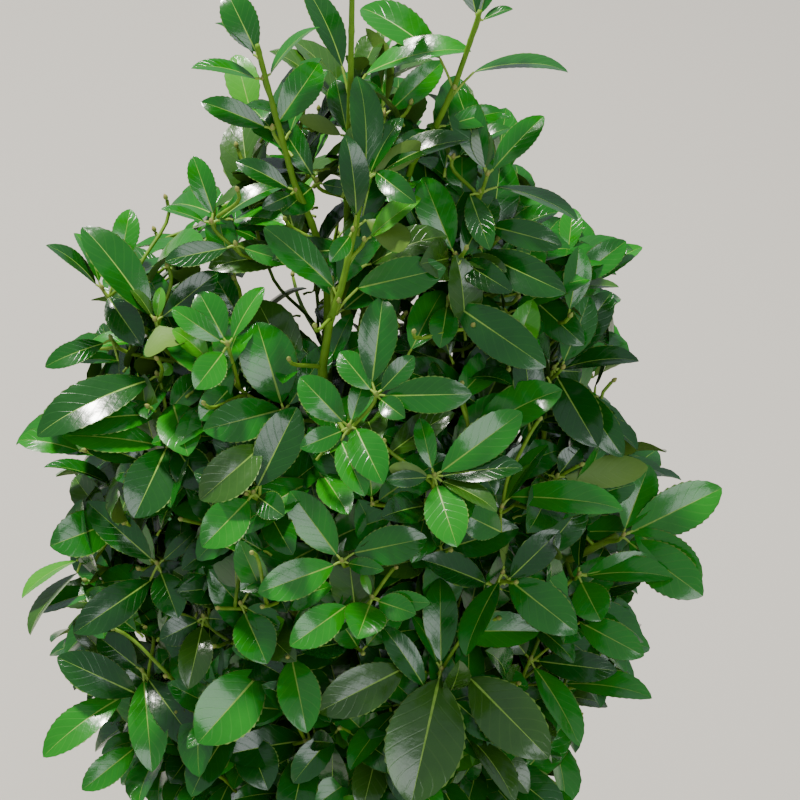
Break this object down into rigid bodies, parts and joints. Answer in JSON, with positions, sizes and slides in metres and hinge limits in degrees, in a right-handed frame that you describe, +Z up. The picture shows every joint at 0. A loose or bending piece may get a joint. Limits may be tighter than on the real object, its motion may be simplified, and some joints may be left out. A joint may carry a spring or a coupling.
{
  "type": "potted japanese spindle",
  "caption": "Evergreen shrub with glossy toothed leaves on upright leaders and side boughs, standing in a round tapered nursery pot.",
  "frame": {"origin": "centre of the pot's flat underside", "axes": "+Z up along the pot's axis, -Y towards the side of the crown the picture shows"},
  "size_m": [0.385, 0.3113, 0.7859],
  "materials": {
    "pot_plastic": "satin",
    "compost": "rough",
    "bark": "rough",
    "green_bark": "satin",
    "foliage": "satin"
  },
  "bodies": {
    "root": {"pot": "pot_plastic", "compost": "compost", "stem_left": "bark", "stem_centre": "bark", "stem_right": "bark", "stem_front": "bark", "bough_left_foot": "green_bark", "bough_left_low": "green_bark", "bough_left": "green_bark", "bough_left_shoulder": "green_bark", "bough_right_shoulder": "green_bark", "bough_right": "green_bark", "bough_right_arm": "green_bark", "bough_right_low": "green_bark", "bough_front": "green_bark", "bough_front_foot": "green_bark", "bough_centre": "green_bark", "bough_right_centre": "green_bark", "bough_back_left": "green_bark", "bough_back_centre": "green_bark", "bough_back_right": "green_bark", "bough_back_low_left": "green_bark", "bough_back_low": "green_bark", "bough_back_low_right": "green_bark", "bough_back_upper": "green_bark", "left_leader_tuft": "foliage", "centre_leader_tuft": "foliage", "right_leader_tuft": "foliage", "upper_left_mass": "foliage", "upper_centre_mass": "foliage", "upper_right_mass": "foliage", "left_shoulder_mass": "foliage", "left_inner_mass": "foliage", "right_shoulder_mass": "foliage", "right_mass": "foliage", "centre_upper_mass": "foliage", "left_mass": "foliage", "left_low_mass": "foliage", "left_foot_mass": "foliage", "centre_mass": "foliage", "front_foot_mass": "foliage", "right_centre_mass": "foliage", "right_arm_mass": "foliage", "right_low_mass": "foliage", "front_mass": "foliage", "back_upper_mass": "foliage", "back_left_mass": "foliage", "back_centre_mass": "foliage", "back_right_mass": "foliage", "back_low_left_mass": "foliage", "back_low_mass": "foliage", "back_low_right_mass": "foliage"}
  },
  "joints": []
}
